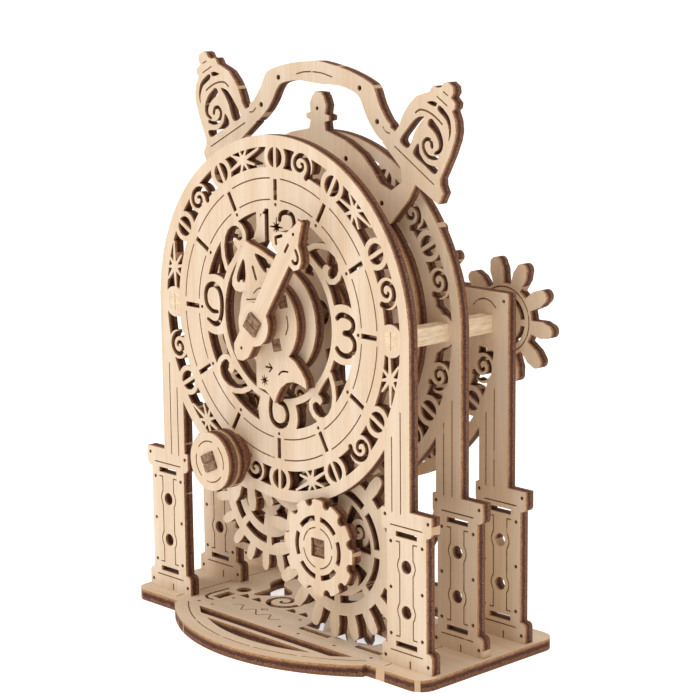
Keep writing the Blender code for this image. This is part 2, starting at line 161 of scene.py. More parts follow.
def block(half_u, half_v, u=0.0, v=0.0, corner=0.0):
    """A rectangle with rounded corners: the distance to its straight sides, and near a corner to the
    corner's circle."""
    def inside(x, y):
        a, b = np.abs(x - u) - half_u + corner, np.abs(y - v) - half_v + corner
        return corner - np.hypot(np.maximum(a, 0), np.maximum(b, 0)) - np.minimum(np.maximum(a, b), 0)
    return (u, v), hypot(half_u, half_v), inside


def band(inner, outer, start=-180.0, stop=180.0):
    """Part of a ring about the origin, between two radii and two angles in degrees."""
    middle, half = radians(0.5 * (start + stop)), radians(0.5 * (stop - start))

    def inside(x, y):
        r = np.hypot(x, y)
        deep = np.minimum(outer - r, r - inner)
        if half > 3.1:
            return deep
        off = np.abs((np.arctan2(y, x) - middle + pi) % (2 * pi) - pi)
        return np.minimum(deep, (half - off) * r)
    if half > 0.8:
        return (0.0, 0.0), outer, inside
    r = 0.5 * (inner + outer)
    return (r * cos(middle), r * sin(middle)), outer * half + outer - inner, inside


def polar(centre, radius, angle):
    """The point at a distance from the centre in a direction given in degrees."""
    return centre[0] + radius * cos(radians(angle)), centre[1] + radius * sin(radians(angle))


def ring_line(radius, start=-180.0, stop=180.0):
    """A ring, or part of one, as narrow as a scored line."""
    return band(radius - 0.5 * LINE, radius + 0.5 * LINE, start, stop)


def around(points):
    """The middle and reach of some points."""
    low, high = points.min(0), points.max(0)
    mid = 0.5 * (low + high)
    return tuple(mid), float(np.hypot(*(points - mid).T).max())


def stroke(points, width):
    """A pen line through the points. Width is one number or one for each point; the inside distance
    is the half width at the nearest place on each straight stretch, less the distance to it."""
    p = np.asarray(points, float)
    half = np.broadcast_to(0.5 * np.asarray(width, float), (len(p),))
    a, step = p[:-1, :, None, None], np.diff(p, axis=0)[:, :, None, None]
    length2 = np.maximum((step ** 2).sum(1), 1e-9)
    start, grow = half[:-1, None, None], np.diff(half)[:, None, None]

    def inside(x, y):
        du, dv = x - a[:, 0], y - a[:, 1]
        t = np.clip((du * step[:, 0] + dv * step[:, 1]) / length2, 0.0, 1.0)
        return (start + t * grow - np.hypot(du - t * step[:, 0], dv - t * step[:, 1])).max(0)
    mid, reach = around(p)
    return mid, reach + half.max(), inside


def patch(points):
    """A closed outline: the distance to its nearest side, positive where an odd number of sides lies
    to the right."""
    p = np.asarray(points, float)
    a, step = p[:, :, None, None], (np.roll(p, -1, 0) - p)[:, :, None, None]
    length2 = np.maximum((step ** 2).sum(1), 1e-9)

    def inside(x, y):
        du, dv = x - a[:, 0], y - a[:, 1]
        t = np.clip((du * step[:, 0] + dv * step[:, 1]) / length2, 0.0, 1.0)
        away = np.hypot(du - t * step[:, 0], dv - t * step[:, 1]).min(0)
        crosses = (dv >= 0) != (dv >= step[:, 1])
        rise = np.where(step[:, 1] == 0, 1e-9, step[:, 1])
        right = du < dv / rise * step[:, 0]
        odd = (crosses & right).sum(0) % 2 == 1
        return np.where(odd, away, -away)
    mid, reach = around(p)
    return mid, reach, inside


def flow(points, closed=False, steps=6):
    """A smooth line through the points: on each stretch a cubic whose slopes come from the points on
    either side (a Catmull-Rom curve)."""
    p = np.asarray(points, float)
    p = np.concatenate([p[-1:], p, p[:2]]) if closed else np.concatenate([p[:1], p, p[-1:]])
    t = (np.arange(steps) / steps)[None, :, None]
    a, b, c, d = (p[k:len(p) - 3 + k, None] for k in range(4))
    bend, twist = 2 * a - 5 * b + 4 * c - d, 3 * b - a - 3 * c + d
    curve = 0.5 * (2 * b + (c - a) * t + bend * t ** 2 + twist * t ** 3)
    curve = curve.reshape(-1, p.shape[1])
    return curve if closed else np.concatenate([curve, p[-2:-1]])


def coil(start_radius, end_radius, start, stop, steps=36, bow=1.0):
    """Points along a spiral: the radius falls from start_radius to end_radius between two angles."""
    t = np.linspace(0.0, 1.0, steps)
    r = start_radius + (end_radius - start_radius) * t ** bow
    a = np.radians(start + (stop - start) * t)
    return np.stack([r * np.cos(a), r * np.sin(a)], 1)


def edge_loops(inside, low, pitch):
    """Where a field on the grid passes zero: points, and for each point the next one with the wood on
    the left. A point is found on each grid line between an inside and an outside sample, in
    proportion to the two values, and each grid square joins its own points."""
    wood = inside > 0
    across = wood[:, :-1] != wood[:, 1:]
    along = wood[:-1] != wood[1:]
    i, j = np.nonzero(across)
    t = inside[i, j] / (inside[i, j] - inside[i, j + 1])
    k, m = np.nonzero(along)
    s = inside[k, m] / (inside[k, m] - inside[k + 1, m])
    points = np.concatenate([np.stack([low[0] + pitch * (j + t), low[1] + pitch * i], 1),
        np.stack([low[0] + pitch * m, low[1] + pitch * (k + s)], 1)])
    number_across = np.full(across.shape, -1)
    number_across[i, j] = np.arange(len(i))
    number_along = np.full(along.shape, -1)
    number_along[k, m] = len(i) + np.arange(len(k))
    sides = (number_across[:-1], number_along[:, 1:], number_across[1:], number_along[:, :-1])
    code = wood[:-1, :-1] + 2 * wood[:-1, 1:] + 4 * wood[1:, 1:] + 8 * wood[1:, :-1]
    joins = {1: ((0, 3),), 2: ((1, 0),), 3: ((1, 3),), 4: ((2, 1),), 5: ((0, 1), (2, 3)), 6: ((2, 0),),
        7: ((2, 3),), 8: ((3, 2),), 9: ((0, 2),), 10: ((3, 0), (1, 2)), 11: ((1, 2),), 12: ((3, 1),),
        13: ((0, 1),), 14: ((3, 0),)}
    following = np.zeros(len(points), int)
    for value, pairs in joins.items():
        square = np.nonzero(code == value)
        for first, second in pairs:
            following[sides[first][square]] = sides[second][square]
    return points, following


def along_loops(loop):
    """For points in order along their loops: where each point's loop begins, how many points the loop
    has, and the point's place in it."""
    begin = np.nonzero(np.concatenate([[True], loop[1:] != loop[:-1]]))[0]
    count = np.diff(np.append(begin, len(loop)))
    begin, size = np.repeat(begin, count), np.repeat(count, count)
    return begin, size, np.arange(len(loop)) - begin


def thin_out(points, following, tolerance=0.006):
    """Leaves out every second point where the line hardly bends, again and again. Points are first
    put in order along their loops: each loop is led by its lowest point, found by leaping twice as
    far each time, and so is each point's count of steps to it."""
    n = len(points)
    leader, leap = np.arange(n), following.copy()
    for _ in range(int(np.ceil(np.log2(n))) + 1):
        leader = np.minimum(leader, leader[leap])
        leap = leap[leap]
    steps = (leader != np.arange(n)).astype(int)
    leap = np.where(steps == 0, np.arange(n), following)
    for _ in range(int(np.ceil(np.log2(n))) + 1):
        steps = steps + steps[leap]
        leap = leap[leap]
    order = np.lexsort((-steps, leader))
    points, loop = points[order], leader[order]
    for turn_number in range(10):
        begin, size, place = along_loops(loop)
        after = points[begin + (place + 1) % size]
        before = points[begin + (place - 1) % size]
        chord = after - before
        gap = np.hypot(*chord.T) + 1e-9
        lead = points - before
        off = np.abs(chord[:, 0] * lead[:, 1] - chord[:, 1] * lead[:, 0]) / gap
        drop = (off < tolerance) & (place % 2 == turn_number % 2) & (size > 8) & (gap < 9.0)
        if turn_number > 3 and not drop.any():
            break
        points, loop = points[~drop], loop[~drop]
    begin, size, place = along_loops(loop)
    return points, begin + (place + 1) % size


def cover(points, following):
    """Triangles that fill the loops, holes left open, facing the side from which wood is on the left."""
    ends = np.nonzero(following <= np.arange(len(points)))[0]
    loops = [list(range(following[end], end + 1)) for end in ends.tolist()]
    filled = delaunay_2d_cdt([Vector(p) for p in points.tolist()], [], loops, 2, 1e-7)
    place, faces = np.array([tuple(p) for p in filled[0]]), np.array(filled[2])
    a, b, c = (place[faces[:, k]] for k in range(3))
    area = (b[:, 0] - a[:, 0]) * (c[:, 1] - a[:, 1]) - (b[:, 1] - a[:, 1]) * (c[:, 0] - a[:, 0])
    faces[area < 0] = faces[area < 0][:, ::-1]
    return place, faces


def cut_out(sheet, name, body, front, thick=PLY, lying=False, fibre=0.0, seed=0.0,
        woods=None):
    """Turns a sheet into a mesh. Its walls run straight through the ply from each loop; the scored
    face is a thin skin with the lines left open, over a core whose scorched face is their floor."""
    layers = [(sheet.wood, 0.0, thick, 0)]
    if (sheet.score_field > 0).any():
        open_lines = np.minimum(sheet.wood, -sheet.score_field)
        layers = [(open_lines, 0.0, GROOVE, 0), (sheet.wood, GROOVE - 0.02, thick, 2)]
    spots, faces, finish, base = [], [], [], 0
    for field, near, far, front_finish in layers:
        points, following = thin_out(*edge_loops(field, sheet.low, sheet.pitch))
        n = len(points)
        here = np.arange(n)
        place, flat = cover(points, following)
        walls = np.stack([here, here + n, following + n, following], 1)
        lid, floor = flat + 2 * n, flat[:, ::-1] + 2 * n + len(place)
        spots += [np.column_stack([points, np.full(n, near)]), np.column_stack([points, np.full(n, far)]),
            np.column_stack([place, np.full(len(place), near)]),
            np.column_stack([place, np.full(len(place), far)])]
        faces += [(walls + base).tolist(), (lid + base).tolist(), (floor + base).tolist()]
        finish += [1] * n + [front_finish] * len(lid) + [int(far == GROOVE)] * len(floor)
        base += 2 * n + 2 * len(place)
    spots = np.concatenate(spots)
    u, v, w = spots.T
    where = np.column_stack([u, v, TOP - w]) if lying else np.column_stack([u, front + w, v])
    mesh = bpy.data.meshes.new(name)
    mesh.from_pydata((where * 0.001).tolist(), [], [f for group in faces for f in group])
    c, s = cos(radians(fibre)), sin(radians(fibre))
    grain = np.column_stack([c * u + s * v, c * v - s * u, w]) + seed * np.array([31.7, 53.9, 17.3])
    mesh.attributes.new("grain", "FLOAT_VECTOR", "POINT").data.foreach_set("vector",
        grain.astype(np.float32).ravel())
    mesh.attributes.new("ply", "FLOAT", "POINT").data.foreach_set("value", (w / thick).astype(np.float32))
    mesh.polygons.foreach_set("material_index", finish)
    for wood in woods or (veneer, burnt_edge, scored_line):
        mesh.materials.append(wood)
    tidy = bmesh.new()
    tidy.from_mesh(mesh)
    bmesh.ops.remove_doubles(tidy, verts=tidy.verts, dist=1e-7)
    tidy.to_mesh(mesh)
    tidy.free()
    mesh.shade_smooth()
    mesh.set_sharp_from_angle(angle=radians(38))
    piece = bpy.data.objects.new(name, mesh)
    scene.collection.objects.link(piece)
    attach(piece, body)
    return piece


def wire(tree, kind, place=None, **values):
    """A shader node with some of its values set; a value that is a socket is linked instead."""
    node = tree.nodes.new(kind)
    for key, value in values.items():
        key = key.replace("_", " ") if key.replace("_", " ") in node.inputs else key
        if key in node.inputs:
            if isinstance(value, bpy.types.NodeSocket):
                tree.links.new(value, node.inputs[key])
            else:
                node.inputs[key].default_value = value
        else:
            setattr(node, key, value)
    return node


def ramp(tree, factor, *stops):
    """A colour ramp through (position, colour) stops."""
    node = tree.nodes.new("ShaderNodeValToRGB")
    tree.links.new(factor, node.inputs["Fac"])
    bar = node.color_ramp
    for k, (position, colour) in enumerate(stops):
        stop = bar.elements[k] if k < 2 else bar.elements.new(position)
        stop.position = position
        stop.color = (*colour, 1.0) if not isinstance(colour, float) else (colour, colour, colour, 1.0)
    return node.outputs["Color"]


def stretched_noise(tree, vector, scale, size, detail, rough=0.55):
    """Noise over a vector that is scaled differently along each axis."""
    mapped = wire(tree, "ShaderNodeMapping", Vector=vector, Scale=scale)
    noise = wire(tree, "ShaderNodeTexNoise", Vector=mapped.outputs["Vector"], Scale=size, Detail=detail,
        Roughness=rough)
    return noise.outputs["Fac"]


def blend(tree, first, second, how="MULTIPLY", amount=1.0):
    """One colour over another: multiplied, or mixed by the amount."""
    node = wire(tree, "ShaderNodeMix", data_type="RGBA", blend_type=how)
    for socket, value in ((node.inputs["Factor"], amount), (node.inputs[6], first),
            (node.inputs[7], second)):
        if isinstance(value, bpy.types.NodeSocket):
            tree.links.new(value, socket)
        else:
            socket.default_value = value
    return node.outputs[2]


def plus(tree, first, share, second):
    """A share of the first value added to the second."""
    node = wire(tree, "ShaderNodeMath", operation="MULTIPLY_ADD")
    tree.links.new(first, node.inputs[0])
    node.inputs[1].default_value = share
    tree.links.new(second, node.inputs[2])
    return node.outputs[0]


def new_wood(name):
    """An empty wood material: its node tree, its shader and the place along the sheet's grain."""
    material = bpy.data.materials.new(name)
    material.use_nodes = True
    tree = material.node_tree
    grain = wire(tree, "ShaderNodeAttribute", attribute_name="grain").outputs["Vector"]
    return material, tree, tree.nodes["Principled BSDF"], grain


def relief(tree, shader, height, strength, depth):
    """Fine unevenness of the surface, depth in metres."""
    bump = wire(tree, "ShaderNodeBump", Strength=strength, Distance=depth, Height=height)
    tree.links.new(bump.outputs["Normal"], shader.inputs["Normal"])


def birch_veneer():
    """Birch face: pale, with long fine fibres up the sheet, broad faint bands and short dark pores."""
    material, tree, shader, grain = new_wood("birch_veneer")
    fibres = stretched_noise(tree, grain, (2.4, 0.055, 1.0), 1.0, 6.0, 0.62)
    broad = stretched_noise(tree, grain, (0.16, 0.012, 0.4), 1.0, 3.0)
    pores = stretched_noise(tree, grain, (5.5, 0.42, 1.0), 1.0, 2.0, 0.4)
    halfway = tuple(0.5 * (a + b) for a, b in zip(FACE_DARK, FACE_LIGHT))
    tone = ramp(tree, broad, (0.25, FACE_DARK), (0.5, halfway), (0.72, FACE_LIGHT))
    streaked = blend(tree, tone, ramp(tree, fibres, (0.28, 0.90), (0.5, 0.99), (0.75, 1.04)))
    flecked = blend(tree, streaked, ramp(tree, pores, (0.20, 0.78), (0.30, 1.0)))
    tree.links.new(flecked, shader.inputs["Base Color"])
    tree.links.new(ramp(tree, fibres, (0.3, 0.72), (0.7, 0.56)), shader.inputs["Roughness"])
    shader.inputs["Specular IOR Level"].default_value = 0.35
    relief(tree, shader, fibres, 0.25, 0.00006)
    return material


def scorched_edge(name="scorched_edge", dim=1.0):
    """Laser-cut edge: a thin toasted front, a charred middle ply and brown behind, all broken up by
    fine burn marks and speckles of glue, with a rare pale nick where a bridge was snapped off."""
    material, tree, shader, grain = new_wood(name)
    ply = wire(tree, "ShaderNodeAttribute", attribute_name="ply").outputs["Fac"]
    marks = stretched_noise(tree, grain, (2.3, 2.3, 1.5), 1.0, 5.0, 0.72)
    waves = stretched_noise(tree, grain, (0.5, 0.5, 1.0), 1.0, 3.0, 0.6)
    nicks = stretched_noise(tree, grain, (0.31, 0.31, 0.02), 1.0, 0.0)
    depth = plus(tree, waves, 0.30, plus(tree, marks, 0.34, ply))
    plies = ramp(tree, depth, (0.30, (0.40, 0.20, 0.085)), (0.42, (0.52, 0.27, 0.12)),
        (0.58, (0.20, 0.085, 0.045)), (0.72, (0.085, 0.032, 0.022)), (0.95, (0.10, 0.04, 0.026)),
        (1.08, (0.26, 0.12, 0.06)), (1.30, (0.20, 0.09, 0.046)))
    burnt = blend(tree, plies, ramp(tree, marks, (0.34, 0.42 * dim), (0.5, 0.95 * dim), (0.68, 1.55 * dim)))
    nicked = blend(tree, burnt, (0.62, 0.42, 0.26, 1.0), "MIX", ramp(tree, nicks, (0.768, 0.0),
        (0.773, 1.0)))
    tree.links.new(nicked, shader.inputs["Base Color"])
    shader.inputs["Roughness"].default_value = 0.8
    shader.inputs["Specular IOR Level"].default_value = 0.25
    relief(tree, shader, marks, 0.4, 0.0001)
    return material


veneer, burnt_edge, scored_line = birch_veneer(), scorched_edge(), scorched_edge("scored_line", 0.45)
TOP = 3.0                               # height of the board's upper face, mm
PLATE_FRONTS = (0.0, 18.1, 34.0)        # front faces of the three upright plates
PILLAR_X = 46.0

board = Sheet((-56.5, -20.5), (56.5, 45.5))
board.add(block(56.0, 25.0, 0.0, 20.0, 4.5))
bow = disc(55.6, 0.0, 35.6)
board.add(((0.0, -12.0), 41.0, lambda x, y: np.minimum(bow[2](x, y),
    np.minimum(-3.0 - y, 36.6 - np.abs(x)))))
for y in PLATE_FRONTS:
    for x in (-PILLAR_X, PILLAR_X):
        board.cut(block(4.05, 1.52, x, y + 0.5 * PLY))
crescent = disc(48.6, 0.0, 35.6)
board.cut(patch([(-24.8, -7.0), (25.6, -7.0), (30.2, -3.4), (-29.6, -3.4)]))
board.cut(((0.0, -11.0), 25.0, lambda x, y: np.minimum(crescent[2](x, y), -8.6 - y)))
for start, stop in ((228, 246), (247.2, 263), (264.2, 276), (277.2, 292), (293.2, 312)):
    board.score(ring_line(51.9, start, stop), (0.0, 35.6))
for x, y in ((-33, -0.7), (7, -0.7), (20.5, -0.6), (34, -0.6), (-28, 7.4), (-1, 7.3), (-28, -0.2),
        (-1, 0.0)):
    board.cut(disc(0.5, x, y))
board.cut(stroke([(-31.2, 2.6), (-33.0, 2.5), (-35.0, 3.4), (-35.7, 5.5), (-35.7, 12.0)], 0.9))
board.cut(block(1.5, 2.9, -32.0, 7.4))
board.cut(disc(2.1, -31.6, 14.3))
board.cut(patch(flow([(-26.3, 13.2), (-19.2, 19.4), (-21.0, 22.6), (-26.4, 24.6), (-31.8, 29.8),
    (-31.5, 24.0), (-27.4, 20.0)], True)))
for x in (-26.9, -22.0, -8.0, -3.2):
    board.cut(patch([(x - 1.9, 10.1), (x + 1.9, 10.1), (x + 0.9, 11.4), (x - 1.2, 12.6)]))
board.cut(stroke(coil(5.6, 0.5, 12, -505, 44) + (-16.0, 15.0), np.linspace(1.7, 0.8, 44)))
board.cut(patch(flow([(-16.0, 23.6), (-12.4, 20.4), (-11.2, 16.4), (-9.8, 18.0), (-11.0, 22.0)], True)))
board.cut(patch([(3.4, 5.2), (10.0, 5.2), (6.6, 9.0), (2.4, 14.4), (-3.0, 16.8), (1.2, 12.2)]))
board.cut(patch([(15.6, 4.6), (20.4, 4.2), (14.0, 10.0), (9.2, 14.0), (6.4, 14.0), (10.2, 10.0)]))
board.cut(patch([(22.4, 5.0), (27.6, 6.6), (28.4, 10.2), (20.2, 18.6), (12.6, 20.2), (18.8, 15.6),
    (22.6, 10.4), (17.0, 13.6), (12.2, 17.4), (11.2, 16.2), (17.6, 10.2)]))
for x, half in ((9.3, 5.6), (29.4, 4.6)):
    board.cut(block(half, 0.85, x, 3.1))
for way in (False, True):
    board.cut(patch(flow([(8.0, 40.2), (31.0, 40.4), (34.0, 36.0), (29.0, 31.0), (24.0, 33.6), (19.0, 30.4),
        (11.0, 30.0)], True)), flip=way)
    board.cut(stroke(coil(4.2, 0.6, 90, 560, 40) + (12.0, 25.4), np.linspace(1.5, 0.8, 40)), flip=way)
    board.score(stroke([(40.6, -2.2), (40.6, 42.0)], LINE), flip=way)
board.score(stroke([(-37.0, 42.6), (37.0, 42.6)], LINE))
flourish = flow([(-24.0, 3.6), (-21.5, 5.2), (-19.0, 2.4), (-16.5, 5.0), (-14.5, 3.6), (-12.5, 2.2),
    (-10.0, 4.8), (-7.5, 2.0), (-5.0, 3.6)])
board.score(stroke(flourish, LINE))
board.score(stroke(coil(1.1, 0.3, 0, 400, 20) + (-14.5, 6.4), LINE))
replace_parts(cut_out(board, "floor_board", "case", 0.0, lying=True, fibre=90.0, seed=1.0), "base_board")

# ---------------------------------------------------------------- front plate with the dial
# An arch-shaped plate of 3 mm plywood that is also the dial: a ring of fretwork, an hour ring of cut
# and scored marks, numerals cut out of small fields, two legs and two pillars with tongues that sit
# in the floor board.
DIAL = (0.0, TOP + 81.75)
ARCH, BAND_MIDDLE = 47.2, 41.65
BEAM_X, BEAM_HALF = 41.0, 2.2
ROUND_BORE = disc(3.5)                  # in which a square arbor turns


def pillar(sheet, x):
    """One pillar: foot, shaft and cap with rounded shoulders, a tongue, slots, round holes, pin holes
    and the scored frame."""
    at = (x, TOP)
    for shape in (block(8.6, 1.95, 0, 1.95), block(8.6, 2.3, 0, 3.1, 1.3), block(6.8, 15.5, 0, 20),
            block(8.6, 2.3, 0, 36.9, 1.5), block(8.6, 1.9, 0, 38.1), block(4.0, 1.5, 0, -1.3)):
        sheet.add(shape, at)
    for shape in (block(3.65, 0.7, 0, 33.95), block(3.65, 0.7, 0, 5.75), disc(1.7, 0, 26.0),
            disc(1.7, 0, 14.4)):
        sheet.cut(shape, at)
    for half, z in ((7.37, 38.3), (5.4, 31.75), (5.4, 20.0), (5.4, 8.1), (7.37, 2.0)):
        for way in (-half, half):
            sheet.cut(disc(0.5, way, z), at)
    half_frame = [(3.6, 32.05), (2.3, 32.05), (2.3, 28.0), (2.75, 27.3), (3.1, 26.0), (2.75, 24.7),
        (2.3, 24.0), (2.3, 16.4), (2.75, 15.7), (3.1, 14.4), (2.75, 13.1), (2.3, 12.4), (2.3, 7.75),
        (3.6, 7.75)]
    for flip in (False, True):
        sheet.score(stroke(half_frame, LINE), at, 0.0, flip)
    for z in (36.0, 3.85):
        sheet.score(stroke([(-5.4, z), (5.4, z)], LINE), at)
    sheet.score(stroke([(1.2, 0.3), (1.2, 1.9)], 0.5), at)


def fretwork(sheet, eyes, coils, stars, first=-180.0, last=180.0):
    """The ring of fretwork round a plate: the band is cut away, then split round windows (eyes),
    coils and eight-rayed stars are left standing in it at the given angles."""
    sheet.cut(band(39.1, 44.2, first, last), DIAL)
    turns = np.radians([-60, 29, 72, 126, 163, 198, 238, 279, 329, 394])
    radii = np.array([3.7, 2.55, 2.25, 2.2, 2.25, 2.05, 1.7, 1.35, 1.0, 0.35])
    fine = np.linspace(turns[0], turns[-1], 40)
    r = np.interp(fine, turns, radii)
    tail = np.stack([r * np.cos(fine), r * np.sin(fine)], 1)
    for angle in coils:
        middle = polar(DIAL, BAND_MIDDLE, angle)
        sheet.add(disc(3.6), middle)
        sheet.add(disc(3.5, 0.0, -0.8), middle, angle)
        sheet.cut(stroke(tail, np.linspace(1.6, 0.85, 40)), middle, angle - 76.0)
    for angle in stars:
        sheet.add(disc(1.35, BAND_MIDDLE + 0.2), DIAL, angle)
        middle = polar(DIAL, BAND_MIDDLE + 0.2, angle)
        for ray, length in ((15, 2.6), (63, 4.4), (106, 6.8), (153, 3.6), (205, 3.6), (243, 4.4),
                (283, 6.8), (320, 3.4)):
            tip = polar((0.0, 0.0), length, ray)
            sheet.add(stroke([(0.0, 0.0), tip], [1.1, 0.55]), middle, angle)
    for angle in eyes:
        sheet.add(disc(4.0, BAND_MIDDLE), DIAL, angle)
        sheet.cut(disc(2.65, BAND_MIDDLE), DIAL, angle)
        sheet.add(block(2.9, 0.5, BAND_MIDDLE), DIAL, angle)
    for x in (-BEAM_X, BEAM_X):
        sheet.add(disc(4.1), (x, DIAL[1]))
        sheet.cut(block(BEAM_HALF, BEAM_HALF, 0, 0, 0.5), (x, DIAL[1]))


def arch_sheet():
    """What the front and middle plates share: a round plate, two legs and two pillars."""
    sheet = Sheet((-55, 0), (55, 133))
    sheet.add(disc(ARCH), DIAL)
    for way in (False, True):
        sheet.add(block(4.3, 24.0, 42.9, 63.0), flip=way)
    for x in (-PILLAR_X, PILLAR_X):
        pillar(sheet, x)
    return sheet


def leg_lines(sheet, bottom, *lines):
    """Upright scored lines on both legs; each line is its place across and the height of its top."""
    for x, top in lines:
        for way in (False, True):
            sheet.score(stroke([(x, TOP + bottom), (x, TOP + top)], LINE), flip=way)


EYES = [30 * k for k in range(12) if k not in (0, 6)]
COILS = [16.6 + 60 * k for k in range(6)]
STARS = [47.0 + 60 * k for k in range(6)]

front = arch_sheet()
fretwork(front, EYES, COILS, STARS)
KNOB = (-16.2, TOP + 43.6)
front.add(disc(5.0), KNOB)
front.cut(ROUND_BORE, KNOB)
front.cut(disc(28.2), DIAL)
for blob in (patch([(-7.5, 28.8), (-7.3, 23.2), (-8.6, 20.2), (7.6, 19.6), (8.8, 21.5), (8.2, 28.8)]),
        disc(8.0, -24.4, 1.2), disc(7.6, 24.4, -0.6), disc(7.5, -0.3, -24.5)):
    front.add(blob, DIAL)
comma = patch([(-18.9, 11.9), (-19.9, 14.4), (-20.2, 17.1), (-19.8, 19.6), (-18.6, 21.6), (-17, 22.7),
    (-15.3, 22.9), (-13.9, 22.2), (-13, 21), (-12.9, 19.9), (-13.8, 19.1), (-14.9, 19.2), (-15.7, 19.8),
    (-16.4, 18.7), (-16.2, 17.8), (-14.9, 17.0), (-16.3, 14.9), (-17.8, 13)])
rim_of_comma = (comma[0], comma[1] + 1.5, lambda x, y: comma[2](x, y) + 1.4)
for angle in (0, 90, 180, 270):
    front.add(rim_of_comma, DIAL, angle)
front.add(band(20.3, 22.1), DIAL)
front.cut(disc(20.3), DIAL)
for angle in (0, 90, 180, 270):
    front.cut(comma, DIAL, angle)
front.cut(block(0.78, 4.9, -3.4, 23.5), DIAL)
front.cut(block(2.1, 0.42, -3.4, 19.0), DIAL)
front.cut(patch([(-6.1, 25.8), (-4.1, 28.2), (-3.0, 28.4), (-3.0, 27.0), (-5.8, 26.9)]), DIAL)
two = flow([(1.5, 26.0), (2.1, 27.5), (4.2, 28.1), (6.3, 27.4), (6.9, 25.2), (5.8, 22.9), (3.6, 21.0),
    (2.0, 19.4), (6.9, 19.2)])
front.cut(stroke(two, 1.35), DIAL)
nine = flow([(-23.4, -0.6), (-25.6, -0.6), (-27.6, 0.9), (-28.1, 3.4), (-27.2, 5.6), (-25.0, 6.5),
    (-22.8, 5.6), (-21.7, 3.2), (-21.7, -0.4), (-22.8, -3.2), (-24.8, -4.0), (-27.4, -3.0)])
front.cut(stroke(nine, np.interp(np.linspace(0, 1, len(nine)), [0, 0.1, 0.3, 0.6, 0.9, 1],
    [1.0, 1.3, 1.5, 1.6, 1.5, 0.9])), DIAL)
three = flow([(22.3, 3.4), (23.4, 4.2), (25.4, 4.3), (27.6, 3.4), (28.0, 1.6), (26.6, 0.2), (24.8, -0.1),
    (26.8, -0.4), (28.4, -2.0), (28.0, -4.4), (25.6, -5.8), (23.2, -5.4), (22.1, -4.4)])
front.cut(stroke(three, 1.45), DIAL)
six = flow([(1.9, -14.2), (-0.6, -16.6), (-2.4, -20.0), (-3.1, -23.6), (-2.4, -26.4), (0.0, -27.6),
    (2.6, -26.6), (3.4, -24.0), (2.2, -21.8), (0.2, -21.2)])
front.cut(stroke(six, 1.5), DIAL)
for k in range(8):
    length = 2.5 if k % 2 == 0 else 1.5
    front.cut(stroke([(0.0, 0.0), polar((0.0, 0.0), length, 45 * k)], [0.75, 0.28]), (0.3, DIAL[1] + 24.0))
for k in range(12):
    front.cut(block(2.7, 0.65, 33.5), DIAL, 30 * k)
    front.cut(disc(0.46, 29.7), DIAL, 30 * k)
    for r in (36.35, 30.9):
        gap = degrees(1.9 / r)
        front.score(ring_line(r, 30 * k + gap, 30 * k + 30 - gap), DIAL)
leg_lines(front, 39.2, (44.1, 64.5), (41.1, 58.0))
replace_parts(cut_out(front, "front_dial_plate", "case", PLATE_FRONTS[0], seed=2.0), "front_plate")

# ---------------------------------------------------------------- middle plate
# The second arch of 3 mm plywood, halfway back. It carries the same ring, legs and pillars as the
# dial, four spokes round a bore for the minute arbor, and a brace between the pillars that bears the
# lower wheels.
LOWER, IDLER = (17.7, TOP + 25.8), (-12.0, TOP + 33.0)


def spoked(sheet, opening, radii, widths):
    """A round opening crossed by four spokes that widen outwards, with a bored hub where they meet."""
    sheet.cut(disc(opening), DIAL)
    sheet.add(disc(9.4), DIAL)
    for angle in (0, 90, 180, 270):
        sheet.add(stroke([(r, 0.0) for r in radii], widths), DIAL, angle)
    sheet.cut(ROUND_BORE, DIAL)


middle = arch_sheet()
middle_coils = [17, 43, 77, 103, 137, 163, 197, 223, 257, 283, 317, 343.8]
fretwork(middle, EYES, middle_coils, [])
spoked(middle, 35.8, (8.0, 22.0, 36.2), (5.0, 6.4, 12.6))
middle.cut(disc(0.45), (33.5, TOP + 86.0))
middle.score(stroke([(31.6, 88.9), (34.2, 88.4)], LINE), (0.0, TOP))
middle.add(patch([(-10.5, 18.4), (-6.0, 22.5), (6.0, 22.5), (10.5, 18.4), (24.2, 18.6), (26.0, 38.0),
    (-26.0, 38.0), (-24.2, 18.6)]), (0.0, TOP))
arms = flow([(9.0, 22.0), (13.0, 16.0), (20.0, 13.2), (28.0, 12.6), (34.0, 12.6), (40.0, 12.9)])
for way in (False, True):
    middle.add(stroke(arms, np.interp(np.linspace(0, 1, len(arms)), [0, 0.3, 1], [3.0, 5.2, 5.4])),
        (0.0, TOP), flip=way)
    middle.cut(stroke(arms[8:-4], 1.3), (0.0, TOP), flip=way)
    bracket = flow([(25.6, 37.2), (23.2, 31.2), (22.8, 25.0), (26.4, 20.6), (31.2, 20.4), (34.0, 24.0),
        (33.0, 28.4), (29.2, 29.6), (26.9, 27.0), (28.2, 24.4), (30.4, 24.7)])
    middle.add(stroke(bracket, np.interp(np.linspace(0, 1, len(bracket)), [0, 0.2, 0.8, 1],
        [3.4, 2.4, 1.9, 1.6])), (0.0, TOP), flip=way)
    middle.add(stroke([(34.2, 25.0), (36.6, 29.0), (39.6, 36.0)], [2.0, 2.0, 3.0]), (0.0, TOP), flip=way)
    middle.cut(patch([(11.4, 16.4), (12.4, 18.8), (17.6, 22.8), (18.6, 21.0), (18.4, 17.2), (14.0, 17.4)]),
        (0.0, TOP), flip=way)
for spot in (LOWER, IDLER):
    middle.add(disc(5.2), spot)
    middle.cut(ROUND_BORE, spot)
leg_lines(middle, 40.0, (44.2, 64.6), (41.3, 58.5))
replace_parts(cut_out(middle, "middle_arch_plate", "case", PLATE_FRONTS[1], seed=3.0), "middle_plate")

